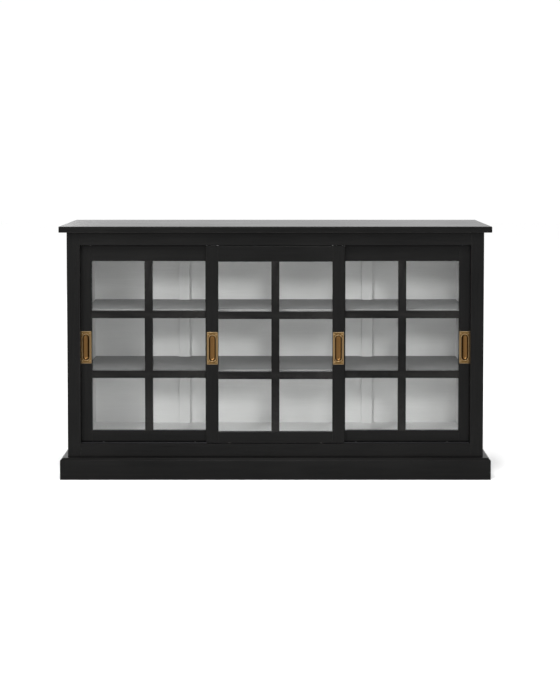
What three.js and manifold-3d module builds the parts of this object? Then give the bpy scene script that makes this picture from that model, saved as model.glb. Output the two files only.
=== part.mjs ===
// Low display cabinet with three sliding glazed doors on two tracks.
// Millimetres, +Z up, doors facing -Y, origin on the floor under the middle of the cabinet.

import * as THREE from "three";
import { mergeVertices } from "three/addons/utils/BufferGeometryUtils.js";
import Module from "manifold-3d";

// ---------------------------------------------------------------- driving dimensions

const width = 1400;
const depth = 420;
const height = 825;
const overhang = 23; // the top and the plinth stand this far past the carcass
const topThick = 20;

const plinthHeight = 71;
const plinthLedge = 15; // flat upper face, before the sloped edge
const plinthSlope = 8; // fall of the sloped edge

const sideThick = 20;
const liningThick = 26;
const panelThick = 18; // bottom, ceiling and shelves
const backThick = 9;
const backInset = 15; // from the rear edges of the sides in to the back panel

const frameThick = 22; // face frame and doors alike
const frameStileWidth = 42;
const frameRailLow = 40; // lower edge of the face frame's bottom rail
const openingLow = 114;
const openingHigh = 763;

const trackWidth = 3;
const trackRise = 2.5;
const trackLetIn = 3;
const grooveWidth = 7; // upper guide grooves
const grooveDepth = 9;
const tongueWidth = 5;
const tongueRise = 8;

const doorWidth = 449;
const doorLow = 117;
const doorHigh = 760.5;
const doorStile = 39;
const doorRailTop = 51;
const doorRailBottom = 36;
const doorBetween = 2; // air between the middle door and the side doors
const doorBehind = 4; // air behind the side doors
const sideDoorAt = 414; // middle of a closed side door
const jambAt = 640.5; // face that a closed side door stops against

const muntinUpright = 26;
const muntinBar = 24;
const muntinLevels = [338, 534.5]; // middles of the two cross bars
const rebateDeep = 14; // front of the door to the glass
const rebateLap = 8;
const glassThick = 4;
const glassPlay = 0.5;

const pullAt = 205; // pull to the middle of its door
const pullLevel = 427;
const plate = { wide: 35, tall: 105, thick: 2, proud: 0.5 };
const cup = { wide: 22.5, tall: 85, deep: 10.5, wall: 1, room: 1 }; // room: air behind the cup
const pocketPlay = 0.75;

const wheel = { radius: 8.5, groove: 6.5, half: 3, lip: 2.6, floor: 1.8, play: 0.15 };
const axle = { radius: 1.5, half: 7, play: 0.3, room: 0.5 }; // room: air at each end
const wheelAt = 150; // roller to the middle of its door
const pocket = { half: 10, wide: 8, rise: 16 };

const shelfFront = -129;
const shelfLevels = { lower: 330.5, upper: 530 }; // undersides
const shelfPlay = 0.5;
const batten = { at: 318.5, wide: 38, thick: 14, play: 1 };
const peg = { head: 4.5, reach: 7, pin: 2.5, depth: 8, play: 0.3, bevel: 1, room: 0.5 };
const pegPlaces = { front: -95, rear: 145 };

const sides = { arc: 14, bore: 16, peg: 14, wheel: 24 }; // flats round a curve, a hole or a turned piece
const past = 1; // how far a cutting shape runs past the face that it opens

// ---------------------------------------------------------------- worked-out places

const halfWidth = width / 2;
const front = -depth / 2;
const back = depth / 2;
const carcassHalf = halfWidth - overhang;
const cavityHalf = carcassHalf - sideThick;
const openingHalf = carcassHalf - frameStileWidth;
const liningHalf = cavityHalf - liningThick;
const frameFront = front + overhang;
const frameBack = frameFront + frameThick;
const sideDoorFront = frameBack + doorBetween;
const liningFront = sideDoorFront + frameThick + doorBehind;
const underTop = height - topThick;
const ceilingLow = underTop - panelThick;
const backFace = back - backInset - backThick;
const frontTrack = frameFront + frameThick / 2;
const rearTrack = sideDoorFront + frameThick / 2;
const trackTop = openingLow + trackRise;
const paneHalf = doorWidth / 2 - doorStile;
const paneLow = doorLow + doorRailBottom;
const paneHigh = doorHigh - doorRailTop;
const axleLevel = trackTop + wheel.groove + wheel.play;

// ---------------------------------------------------------------- materials

const blackPaint = () => new THREE.MeshStandardMaterial({ color: 0x1f1e1d, roughness: 0.45, metalness: 0 });
const whitePaint = () => new THREE.MeshStandardMaterial({ color: 0xe6e4df, roughness: 0.6, metalness: 0 });
const clearGlass = () =>
  new THREE.MeshStandardMaterial({
    color: 0xdfe9e4,
    roughness: 0.05,
    metalness: 0,
    transparent: true,
    opacity: 0.25,
  });
const agedBrass = () => new THREE.MeshStandardMaterial({ color: 0x7b5a2f, roughness: 0.35, metalness: 1 });
const blackMetal = () => new THREE.MeshStandardMaterial({ color: 0x26262a, roughness: 0.4, metalness: 0.8 });
const greyNylon = () => new THREE.MeshStandardMaterial({ color: 0x8d8f8e, roughness: 0.5, metalness: 0 });
const nickel = () => new THREE.MeshStandardMaterial({ color: 0xb9b6ae, roughness: 0.3, metalness: 1 });

// ---------------------------------------------------------------- solids

const wasm = await Module();
wasm.setup();

function toSolid(geometry) {
  const bare = geometry.clone();
  bare.deleteAttribute("normal");
  bare.deleteAttribute("uv");
  const merged = mergeVertices(bare);
  return new wasm.Manifold(
    new wasm.Mesh({
      numProp: 3,
      vertProperties: Float32Array.from(merged.attributes.position.array),
      triVerts: Uint32Array.from(merged.index.array),
    }),
  );
}

function toGeometry(solid) {
  const mesh = solid.getMesh();
  const geometry = new THREE.BufferGeometry();
  geometry.setAttribute("position", new THREE.BufferAttribute(mesh.vertProperties, 3));
  geometry.setIndex(new THREE.BufferAttribute(mesh.triVerts, 1));
  geometry.computeVertexNormals();
  return geometry;
}

// The first shape, with the others cut out of it.
function cut(geometry, ...tools) {
  return toGeometry(tools.reduce((solid, tool) => solid.subtract(toSolid(tool)), toSolid(geometry)));
}

function join(geometry, other) {
  return toGeometry(toSolid(geometry).add(toSolid(other)));
}

// A block between two values along each axis.
function block([x0, x1], [y0, y1], [z0, z1]) {
  const geometry = new THREE.BoxGeometry(x1 - x0, y1 - y0, z1 - z0);
  return geometry.translate((x0 + x1) / 2, (y0 + y1) / 2, (z0 + z1) / 2);
}

function outline(points) {
  return new THREE.Shape(points.map(([u, v]) => new THREE.Vector2(u, v)));
}

function extrude(shape, length) {
  return new THREE.ExtrudeGeometry(shape, { depth: length, bevelEnabled: false, curveSegments: sides.arc });
}

const alongX = new THREE.Vector3(1, 0, 0);
const alongY = new THREE.Vector3(0, 1, 0);
const alongZ = new THREE.Vector3(0, 0, 1);

// An outline in (y, z), carried from x0 to x1.
function carryX(shape, x0, x1) {
  const turn = new THREE.Matrix4().makeBasis(alongY, alongZ, alongX);
  return extrude(shape, x1 - x0).applyMatrix4(turn).translate(x0, 0, 0);
}

// An outline in (x, z), carried from y0 to y1.
function carryY(shape, y0, y1) {
  const turn = new THREE.Matrix4().makeBasis(alongX, alongZ, alongY.clone().negate());
  return extrude(shape, y1 - y0).applyMatrix4(turn).translate(0, y1, 0);
}

// An outline in (x, y), carried from z0 to z1.
function carryZ(shape, z0, z1) {
  return extrude(shape, z1 - z0).translate(0, 0, z0);
}

// A slot outline with two round ends, standing upright about a centre.
function slot(wide, tall, x, z) {
  const radius = wide / 2;
  const straight = tall / 2 - radius;
  const shape = new THREE.Shape();
  shape.moveTo(x + radius, z - straight);
  shape.absarc(x, z + straight, radius, 0, Math.PI);
  shape.absarc(x, z - straight, radius, Math.PI, 2 * Math.PI);
  return shape;
}

// A round cutting shape along Y, half of it to each side of the origin.
function bore(radius, length) {
  return new THREE.CylinderGeometry(radius, radius, length, sides.bore);
}

// A turned piece: its profile is (radius, place along +Y).
function turned(profile, segments) {
  return new THREE.LatheGeometry(
    profile.map(([radius, along]) => new THREE.Vector2(radius, along)),
    segments,
  );
}

const cabinet = new THREE.Group();

function place(parent, name, geometry, material) {
  const mesh = new THREE.Mesh(geometry, material);
  mesh.name = name;
  parent.add(mesh);
  return mesh;
}

// The two hands of a mirrored piece: the range for each one along X.
const hands = [
  { name: "left", sign: -1, range: (inner, outer) => [-outer, -inner] },
  { name: "right", sign: 1, range: (inner, outer) => [inner, outer] },
];

// ---------------------------------------------------------------- carcass

const carcass = new THREE.Group();
cabinet.add(carcass);

place(
  carcass,
  "top_panel",
  block([-halfWidth, halfWidth], [front, back], [underTop, height]),
  blackPaint(),
);

for (const hand of hands) {
  place(
    carcass,
    `side_panel_${hand.name}`,
    block(hand.range(cavityHalf, carcassHalf), [frameBack, back], [0, underTop]),
    blackPaint(),
  );
  place(
    carcass,
    `frame_stile_${hand.name}`,
    block(hand.range(openingHalf, carcassHalf), [frameFront, frameBack], [0, underTop]),
    blackPaint(),
  );
  place(
    carcass,
    `door_jamb_${hand.name}`,
    block(hand.range(jambAt, cavityHalf), [frameBack, liningFront], [openingLow, openingHigh]),
    blackPaint(),
  );
}

// A guide rail's outline: a bar between two depths and levels, grooved from below.
function guideOutline(y0, y1, grooveAt, z1) {
  return outline([
    [y0, openingHigh],
    [grooveAt - grooveWidth / 2, openingHigh],
    [grooveAt - grooveWidth / 2, openingHigh + grooveDepth],
    [grooveAt + grooveWidth / 2, openingHigh + grooveDepth],
    [grooveAt + grooveWidth / 2, openingHigh],
    [y1, openingHigh],
    [y1, z1],
    [y0, z1],
  ]);
}

// A board's outline with a kerf along its upper face for a track.
function kerfedOutline(y0, y1, trackAt, z0) {
  return outline([
    [y0, z0],
    [y1, z0],
    [y1, openingLow],
    [trackAt + trackWidth / 2, openingLow],
    [trackAt + trackWidth / 2, openingLow - trackLetIn],
    [trackAt - trackWidth / 2, openingLow - trackLetIn],
    [trackAt - trackWidth / 2, openingLow],
    [y0, openingLow],
  ]);
}

place(
  carcass,
  "frame_rail_top",
  carryX(guideOutline(frameFront, frameBack, frontTrack, underTop), -openingHalf, openingHalf),
  blackPaint(),
);
place(
  carcass,
  "top_guide_rail",
  carryX(guideOutline(frameBack, liningFront, rearTrack, ceilingLow), -cavityHalf, cavityHalf),
  blackPaint(),
);
place(
  carcass,
  "frame_rail_bottom",
  carryX(kerfedOutline(frameFront, frameBack, frontTrack, frameRailLow), -openingHalf, openingHalf),
  blackPaint(),
);
place(
  carcass,
  "bottom_panel",
  carryX(
    kerfedOutline(frameBack, backFace, rearTrack, openingLow - panelThick),
    -cavityHalf,
    cavityHalf,
  ),
  whitePaint(),
);
place(
  carcass,
  "ceiling_panel",
  block([-cavityHalf, cavityHalf], [frameBack, backFace], [ceilingLow, underTop]),
  whitePaint(),
);
place(
  carcass,
  "back_panel",
  block([-cavityHalf, cavityHalf], [backFace, backFace + backThick], [openingLow - panelThick, underTop]),
  whitePaint(),
);

const tracks = [
  { name: "track_front", at: frontTrack, half: openingHalf },
  { name: "track_rear", at: rearTrack, half: jambAt },
];
for (const track of tracks) {
  place(
    carcass,
    track.name,
    block(
      [-track.half, track.half],
      [track.at - trackWidth / 2, track.at + trackWidth / 2],
      [openingLow - trackLetIn, trackTop],
    ),
    blackMetal(),
  );
}

// ---------------------------------------------------------------- inside: linings, battens, shelves, pegs

// A peg's axis lies just under the shelf that it carries.
const pegLevel = (shelfLevel) => shelfLevel - peg.head - peg.play;

// Holes bored into one lining for its four pegs.
function pegHoles(sign) {
  const holes = [];
  for (const level of Object.values(shelfLevels)) {
    for (const y of Object.values(pegPlaces)) {
      const hole = bore(peg.pin + peg.play, 2 * (peg.depth + peg.room));
      holes.push(hole.rotateZ(Math.PI / 2).translate(sign * liningHalf, y, pegLevel(level)));
    }
  }
  return holes;
}

for (const hand of hands) {
  const lining = block(
    hand.range(liningHalf, cavityHalf),
    [liningFront, backFace],
    [openingLow, ceilingLow],
  );
  place(carcass, `side_lining_${hand.name}`, cut(lining, ...pegHoles(hand.sign)), whitePaint());
  place(
    carcass,
    `back_batten_${hand.name}`,
    block(
      hand.range(batten.at - batten.wide / 2, batten.at + batten.wide / 2),
      [backFace - batten.thick, backFace],
      [openingLow, ceilingLow],
    ),
    whitePaint(),
  );
}

// The right half of a shelf's outline, from the middle of its rear edge round to its front:
// the rear edge is notched over the batten.
function shelfOutline() {
  const half = liningHalf - shelfPlay;
  const rear = backFace - shelfPlay;
  const notchFloor = backFace - batten.thick - batten.play;
  const notchInner = batten.at - batten.wide / 2 - batten.play;
  const notchOuter = batten.at + batten.wide / 2 + batten.play;
  const rightHalf = [
    [notchInner, rear],
    [notchInner, notchFloor],
    [notchOuter, notchFloor],
    [notchOuter, rear],
    [half, rear],
    [half, shelfFront],
  ];
  const leftHalf = rightHalf.map(([x, y]) => [-x, y]).reverse();
  return outline([...rightHalf, ...leftHalf]);
}

// Profile of a peg: the pin goes into the lining, the head carries the shelf.
const pegProfile = [
  [0, -peg.depth],
  [peg.pin, -peg.depth],
  [peg.pin, 0],
  [peg.head, 0],
  [peg.head, peg.reach - peg.bevel],
  [peg.head - peg.bevel, peg.reach],
  [0, peg.reach],
];

for (const [shelfName, level] of Object.entries(shelfLevels)) {
  place(carcass, `shelf_${shelfName}`, carryZ(shelfOutline(), level, level + panelThick), whitePaint());
  for (const hand of hands) {
    for (const [placeName, y] of Object.entries(pegPlaces)) {
      const name = `shelf_peg_${shelfName}_${hand.name}_${placeName}`;
      const mesh = place(carcass, name, turned(pegProfile, sides.peg), nickel());
      mesh.position.set(hand.sign * liningHalf, y, pegLevel(level));
      mesh.rotation.z = (hand.sign * Math.PI) / 2;
    }
  }
}

// ---------------------------------------------------------------- plinth

// Outline of the plinth moulding: (distance out from the carcass, level).
const plinthOutline = [
  [0, 0],
  [overhang, 0],
  [overhang, plinthHeight - plinthSlope],
  [plinthLedge, plinthHeight],
  [0, plinthHeight],
];

// Each end that meets another length is mitred: a corner point moves out as far as it stands out.
function plinthFront() {
  const shape = outline(plinthOutline.map(([out, z]) => [frameFront - out, z]));
  const geometry = carryX(shape, -carcassHalf, carcassHalf);
  const position = geometry.attributes.position;
  for (let i = 0; i < position.count; i += 1) {
    const out = frameFront - position.getY(i);
    position.setX(i, position.getX(i) + Math.sign(position.getX(i)) * out);
  }
  return geometry;
}

function plinthSide(sign) {
  const shape = outline(plinthOutline.map(([out, z]) => [sign * (carcassHalf + out), z]));
  const geometry = carryY(shape, frameFront, back);
  const position = geometry.attributes.position;
  for (let i = 0; i < position.count; i += 1) {
    if (position.getY(i) < 0) {
      const out = Math.abs(position.getX(i)) - carcassHalf;
      position.setY(i, position.getY(i) - out);
    }
  }
  return geometry;
}

place(carcass, "plinth_front", plinthFront(), blackPaint());
for (const hand of hands) {
  place(carcass, `plinth_${hand.name}`, plinthSide(hand.sign), blackPaint());
}

// ---------------------------------------------------------------- doors
// Each door is built about its own middle, with y = 0 on its front face.

// The hollow of the rear rebate that holds the glass.
const rebate = () =>
  block(
    [-paneHalf - rebateLap, paneHalf + rebateLap],
    [rebateDeep, frameThick + past],
    [paneLow - rebateLap, paneHigh + rebateLap],
  );

// Room in a stile for the pull's plate and its cup.
const pullPockets = (x) => [
  block(
    [x - plate.wide / 2 - pocketPlay / 2, x + plate.wide / 2 + pocketPlay / 2],
    [-past, plate.thick - plate.proud],
    [pullLevel - plate.tall / 2 - pocketPlay / 2, pullLevel + plate.tall / 2 + pocketPlay / 2],
  ),
  carryY(
    slot(cup.wide + 2 * pocketPlay, cup.tall + 2 * pocketPlay, x, pullLevel),
    -past,
    cup.deep + cup.room,
  ),
];

// A flush pull: a plate with a deep cup, open at the front.
function pullShape(x) {
  const face = block(
    [x - plate.wide / 2, x + plate.wide / 2],
    [-plate.proud, plate.thick - plate.proud],
    [pullLevel - plate.tall / 2, pullLevel + plate.tall / 2],
  );
  const shell = carryY(slot(cup.wide, cup.tall, x, pullLevel), 0, cup.deep);
  const inside = slot(cup.wide - 2 * cup.wall, cup.tall - 2 * cup.wall, x, pullLevel);
  return cut(join(face, shell), carryY(inside, -plate.proud - past, cup.deep - cup.wall));
}

function railTopShape() {
  const middle = frameThick / 2;
  const shape = outline([
    [0, paneHigh],
    [rebateDeep, paneHigh],
    [rebateDeep, paneHigh + rebateLap],
    [frameThick, paneHigh + rebateLap],
    [frameThick, doorHigh],
    [middle + tongueWidth / 2, doorHigh],
    [middle + tongueWidth / 2, doorHigh + tongueRise],
    [middle - tongueWidth / 2, doorHigh + tongueRise],
    [middle - tongueWidth / 2, doorHigh],
    [0, doorHigh],
  ]);
  return carryX(shape, -paneHalf, paneHalf);
}

function railBottomShape() {
  const shape = outline([
    [0, doorLow],
    [frameThick, doorLow],
    [frameThick, paneLow - rebateLap],
    [rebateDeep, paneLow - rebateLap],
    [rebateDeep, paneLow],
    [0, paneLow],
  ]);
  const middle = frameThick / 2;
  const tools = [];
  for (const x of [-wheelAt, wheelAt]) {
    tools.push(
      block(
        [x - pocket.half, x + pocket.half],
        [middle - pocket.wide / 2, middle + pocket.wide / 2],
        [doorLow - past, doorLow + pocket.rise],
      ),
    );
    tools.push(bore(axle.radius + axle.play, 2 * (axle.half + axle.room)).translate(x, middle, axleLevel));
  }
  return cut(carryX(shape, -paneHalf, paneHalf), ...tools);
}

// One upright and two cross bars, in one plane with the door's front.
function muntinShape() {
  const rightHalf = [[muntinUpright / 2, paneLow]];
  for (const level of muntinLevels) {
    rightHalf.push([muntinUpright / 2, level - muntinBar / 2]);
    rightHalf.push([paneHalf, level - muntinBar / 2]);
    rightHalf.push([paneHalf, level + muntinBar / 2]);
    rightHalf.push([muntinUpright / 2, level + muntinBar / 2]);
  }
  rightHalf.push([muntinUpright / 2, paneHigh]);
  const leftHalf = rightHalf.map(([x, z]) => [-x, z]).reverse();
  return carryY(outline([...rightHalf, ...leftHalf]), 0, rebateDeep);
}

const wheelProfile = [
  [0, -axle.half],
  [axle.radius, -axle.half],
  [axle.radius, -wheel.half],
  [wheel.radius, -wheel.half],
  [wheel.radius, -wheel.lip],
  [wheel.groove, -wheel.floor],
  [wheel.groove, wheel.floor],
  [wheel.radius, wheel.lip],
  [wheel.radius, wheel.half],
  [axle.radius, wheel.half],
  [axle.radius, axle.half],
  [0, axle.half],
];

const doors = [
  { name: "left", at: -sideDoorAt, frontAt: sideDoorFront, pulls: [hands[0]] },
  { name: "middle", at: 0, frontAt: frameFront, pulls: hands },
  { name: "right", at: sideDoorAt, frontAt: sideDoorFront, pulls: [hands[1]] },
];

for (const door of doors) {
  const group = new THREE.Group();
  group.position.set(door.at, door.frontAt, 0);
  cabinet.add(group);

  for (const hand of hands) {
    const stile = block(hand.range(paneHalf, doorWidth / 2), [0, frameThick], [doorLow, doorHigh]);
    const hasPull = door.pulls.includes(hand);
    const tools = hasPull ? [rebate(), ...pullPockets(hand.sign * pullAt)] : [rebate()];
    place(group, `${door.name}_door_stile_${hand.name}`, cut(stile, ...tools), blackPaint());
    if (hasPull) {
      const name = door.pulls.length > 1 ? `${door.name}_door_pull_${hand.name}` : `${door.name}_door_pull`;
      place(group, name, pullShape(hand.sign * pullAt), agedBrass());
    }

    const rollerName = `${door.name}_door_roller_${hand.name}`;
    const roller = place(group, rollerName, turned(wheelProfile, sides.wheel), greyNylon());
    roller.position.set(hand.sign * wheelAt, frameThick / 2, axleLevel);
  }

  place(group, `${door.name}_door_rail_top`, railTopShape(), blackPaint());
  place(group, `${door.name}_door_rail_bottom`, railBottomShape(), blackPaint());
  place(group, `${door.name}_door_muntins`, muntinShape(), blackPaint());
  place(
    group,
    `${door.name}_door_glass`,
    block(
      [-paneHalf - rebateLap + glassPlay, paneHalf + rebateLap - glassPlay],
      [rebateDeep, rebateDeep + glassThick],
      [paneLow - rebateLap + glassPlay, paneHigh + rebateLap - glassPlay],
    ),
    clearGlass(),
  );
}

export default cabinet;
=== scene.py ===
import math

import bpy
import numpy as np
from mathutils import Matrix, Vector


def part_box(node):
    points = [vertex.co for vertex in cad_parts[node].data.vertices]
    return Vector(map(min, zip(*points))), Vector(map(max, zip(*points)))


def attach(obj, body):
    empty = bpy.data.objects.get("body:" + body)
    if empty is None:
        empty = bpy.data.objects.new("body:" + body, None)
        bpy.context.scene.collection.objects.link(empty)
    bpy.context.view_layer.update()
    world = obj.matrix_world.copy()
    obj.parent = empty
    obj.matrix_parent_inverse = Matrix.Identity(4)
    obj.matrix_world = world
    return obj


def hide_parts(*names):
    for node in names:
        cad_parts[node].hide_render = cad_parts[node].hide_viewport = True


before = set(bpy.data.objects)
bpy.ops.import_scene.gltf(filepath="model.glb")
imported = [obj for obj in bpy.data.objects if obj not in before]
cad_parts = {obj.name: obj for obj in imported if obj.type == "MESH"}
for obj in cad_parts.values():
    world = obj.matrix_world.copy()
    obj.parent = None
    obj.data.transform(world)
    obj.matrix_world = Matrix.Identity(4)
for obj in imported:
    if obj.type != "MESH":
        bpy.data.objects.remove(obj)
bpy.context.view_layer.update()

# A low display cabinet with three sliding glazed doors, dressed in paint, glass and brass.
# Lengths are in metres, as in the frame, and mm turns a maker's millimetres into them.

mm = 0.001
handNames = ("left", "right")
doorNames = ("left", "middle", "right")
doorPulls = {"left": ("left",), "middle": ("left", "right"), "right": ("right",)}


def boxOf(name):
    low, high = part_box(name)
    return np.array(low), np.array(high)


# Where an outline's two directions and its path point: "x" is carried to the right, "left" the
# other way, "z" upwards, "back" to the rear, and "front" forwards, so a depth is minus y.
frames = {
    "x": np.array([[0, 1, 0], [0, 0, 1], [1, 0, 0]], float),
    "z": np.array([[1, 0, 0], [0, 1, 0], [0, 0, 1]], float),
    "front": np.array([[1, 0, 0], [0, 0, 1], [0, -1, 0]], float),
    "left": np.array([[0, 0, 1], [0, 1, 0], [-1, 0, 0]], float),
    "back": np.array([[0, 0, 1], [1, 0, 0], [0, 1, 0]], float),
}


# The frame that points from one side of the cabinet to its middle.
def inwards(hand):
    return "left" if hand == "right" else "x"


class Shell:
    # Collects the points and faces of one closed piece. Each point also carries one number, its wear and
    # shade mark:
    # above 0 it says how worn it is; below 0 it gives brass its amber patina and, lower still, painted
    # shade in hollows and creases.
    def __init__(self):
        self.points, self.rubs, self.faces, self.size = [], [], [], 0

    def add(self, grid, rub=0.0):
        flat = np.asarray(grid, float).reshape(-1, 3)
        index = np.arange(self.size, self.size + len(flat)).reshape(grid.shape[:-1])
        self.points.append(flat)
        self.rubs.append(np.broadcast_to(rub, grid.shape[:-1]).reshape(-1))
        self.size += len(flat)
        return index

    # Joins each ring's points to the next ring's; opened lists (ring, column) left out.
    def skin(self, index, opened=()):
        turned = np.roll(index, -1, 1)
        quads = np.stack([index[:-1], turned[:-1], turned[1:], index[1:]], 2)
        keep = np.ones(quads.shape[:2], bool)
        for ring, column in opened:
            keep[ring, column] = False
        self.faces += quads[keep].tolist()

    # Closes the first ring (facing back along the path) and the last one (facing ahead).
    def caps(self, index, first=True, last=True):
        if first:
            self.faces.append(index[0][::-1].tolist())
        if last:
            self.faces.append(index[-1].tolist())

    def piece(self, name):
        mesh = bpy.data.meshes.new(name)
        mesh.from_pydata(np.concatenate(self.points).tolist(), [], self.faces)
        rub = mesh.attributes.new("rub", "FLOAT", "POINT")
        rub.data.foreach_set("value", np.concatenate(self.rubs).astype(np.float32))
        mesh.validate()
        made = bpy.data.objects.new(name, mesh)
        bpy.context.scene.collection.objects.link(made)
        return made


# A closed outline with rounded corners, given anticlockwise. Each corner becomes an arc that
# touches both of its sides: middle of the arc = corner - radius * (sum of the two outward
# normals) / (1 + their product), and its points = middle + radius * normal. Where the outline
# turns inwards, the arc's radius is fillet and it bulges inwards. Returns the points, their
# outward normals, and how far round its arc each is, as a hump that is 0 at the arc's ends.
def roundedOutline(corners, radius, steps=4, fillet=0.3 * mm):
    corner = np.asarray(corners, float)
    ahead = np.roll(corner, -1, 0) - corner
    ahead /= np.linalg.norm(ahead, axis=1)[:, None]
    behind = np.roll(ahead, 1, 0)
    normalIn = np.c_[behind[:, 1], -behind[:, 0]]
    normalOut = np.c_[ahead[:, 1], -ahead[:, 0]]
    turn = behind[:, 0] * ahead[:, 1] - behind[:, 1] * ahead[:, 0]
    straight = (behind * ahead).sum(1)
    bulge = np.where(turn > 0, radius, -fillet)
    middle = corner - (bulge / (1 + (normalIn * normalOut).sum(1)))[:, None] * (normalIn + normalOut)
    share = np.linspace(0, 1, steps + 1)
    angle = np.arctan2(turn, straight)[:, None] * share
    angle = angle + np.arctan2(normalIn[:, 1], normalIn[:, 0])[:, None]
    normal = np.stack([np.cos(angle), np.sin(angle)], 2)
    points = middle[:, None] + bulge[:, None, None] * normal
    hump = np.broadcast_to(np.sin(np.pi * share), angle.shape)
    return points.reshape(-1, 2), normal.reshape(-1, 2), hump.reshape(-1)


def rectangle(low, high):
    return [(low[0], low[1]), (high[0], low[1]), (high[0], high[1]), (low[0], high[1])]


# A bar: an outline carried along a straight path, with both ends eased. In an end, the outline
# draws in by ease * (1 - sin a) while it moves on by ease * (1 - cos a), a quarter turn in all.
# slant(points) gives how far each point of the outline moves along the path at the start and
# at the end, which mitres them. levels adds rings between the ends, for pockets.
def barRings(outline, frameName, start, end, ease, slant=None, levels=(), steps=3):
    points, normal, hump = outline
    angle = np.linspace(0, np.pi / 2, steps + 1)
    draw = ease * (1 - np.sin(angle))
    creep = ease * (1 - np.cos(angle))
    inset = np.r_[draw, np.zeros(len(levels)), draw[::-1]]
    along = np.r_[start + creep, np.array(levels, float), end - creep[::-1]]
    flat = points[None] - inset[:, None, None] * normal[None]
    place = np.repeat(along[:, None], len(points), 1)
    if slant is not None:
        atStart, atEnd = slant(flat)
        share = ((along - start) / (end - start) > 0.5)[:, None]
        place = place + np.where(share, atEnd, atStart)
    ringHump = np.r_[np.sin(2 * angle), np.zeros(len(levels)), np.sin(2 * angle[::-1])]
    rub = np.maximum(ringHump[:, None], hump[None])
    grid = np.concatenate([flat, place[:, :, None]], 2) @ frames[frameName]
    return grid, rub


def bar(name, outline, frameName, start, end, ease, slant=None):
    shell = Shell()
    index = shell.add(*barRings(outline, frameName, start, end, ease, slant))
    shell.skin(index)
    shell.caps(index)
    return shell.piece(name)


# A bar with hollows sunk into one flat side. A hollow has the stretch of the path that it takes
# up, low to high, and its rings, from its mouth inwards. The side gets a ring of points on both
# sides of the hollow, margin away, and their four corners are joined to the mouth's four arcs.
def pocketedBar(name, outline, frameName, start, end, ease, column, hollows, margin):
    spans = sorted((hollow["low"] - margin, hollow["high"] + margin) for hollow in hollows)
    levels = [level for span in spans for level in span]
    grid, rub = barRings(outline, frameName, start, end, ease, None, levels)
    shell = Shell()
    index = shell.add(grid, rub)
    firstLevel = (len(grid) - len(levels)) // 2
    opened = [(firstLevel + 2 * i, column) for i in range(len(hollows))]
    shell.skin(index, opened)
    shell.caps(index)
    for (ring, _), hollow in zip(opened, sorted(hollows, key=lambda each: each["low"])):
        corners = [
            index[ring, column],
            index[ring, column + 1],
            index[ring + 1, column + 1],
            index[ring + 1, column],
        ]
        inner = shell.add(hollow["rings"], -0.2)
        arcs = inner[0].reshape(4, -1)
        for i in range(4):
            after = (i + 1) % 4
            side = (corners[i], corners[after], arcs[after][0], arcs[i][-1])
            shell.faces.append([int(point) for point in side])
            fan = zip(arcs[i][:-1], arcs[i][1:])
            shell.faces += [[int(corners[i]), int(ahead), int(behind)] for behind, ahead in fan]
        shell.skin(inner)
        shell.caps(inner, first=False)
    return shell.piece(name)


# A turned piece: the profile's (radius, place) pairs each become a circle about the path.
def turnedRings(profile, frameName, centre, segments):
    profile = np.asarray(profile, float)
    angle = np.linspace(0, 2 * np.pi, segments, endpoint=False)
    flat = profile[:, :1, None] * np.stack([np.cos(angle), np.sin(angle)], 1).T[None]
    along = np.repeat(profile[:, 1][:, None], segments, 1)
    turned = np.stack([flat[:, 0], flat[:, 1], along], 2) @ frames[frameName]
    return turned + np.asarray(centre, float)


def addTurned(shell, profile, frameName, centre, segments, rub=0.0):
    index = shell.add(turnedRings(profile, frameName, centre, segments), rub)
    shell.skin(index)
    shell.caps(index)


# An arc in a profile, from one angle to another about a middle, in degrees.
def arc(middle, radius, fromAngle, toAngle, steps):
    angle = np.radians(np.linspace(fromAngle, toAngle, steps + 1))
    return np.c_[middle[0] + radius * np.cos(angle), middle[1] + radius * np.sin(angle)]


class Field:
    # A value that varies over a surface. Arithmetic on it adds Math nodes.
    def __init__(self, tree, socket):
        self.tree, self.socket = tree, socket

    def math(self, operation, second, first=None):
        node = self.tree.nodes.new("ShaderNodeMath")
        node.operation = operation
        for socket, value in zip(node.inputs, (self if first is None else first, second)):
            if isinstance(value, Field):
                self.tree.links.new(value.socket, socket)
            else:
                socket.default_value = value
        return Field(self.tree, node.outputs[0])

    def __add__(self, other):
        return self.math("ADD", other)

    def __radd__(self, other):
        return self.math("ADD", self, other)

    def __sub__(self, other):
        return self.math("SUBTRACT", other)

    def __rsub__(self, other):
        return self.math("SUBTRACT", self, other)

    def __mul__(self, other):
        return self.math("MULTIPLY", other)

    def __rmul__(self, other):
        return self.math("MULTIPLY", self, other)

    def __pow__(self, other):
        return self.math("POWER", other)

    def clamped(self):
        return self.math("MAXIMUM", 0.0).math("MINIMUM", 1.0)


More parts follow.
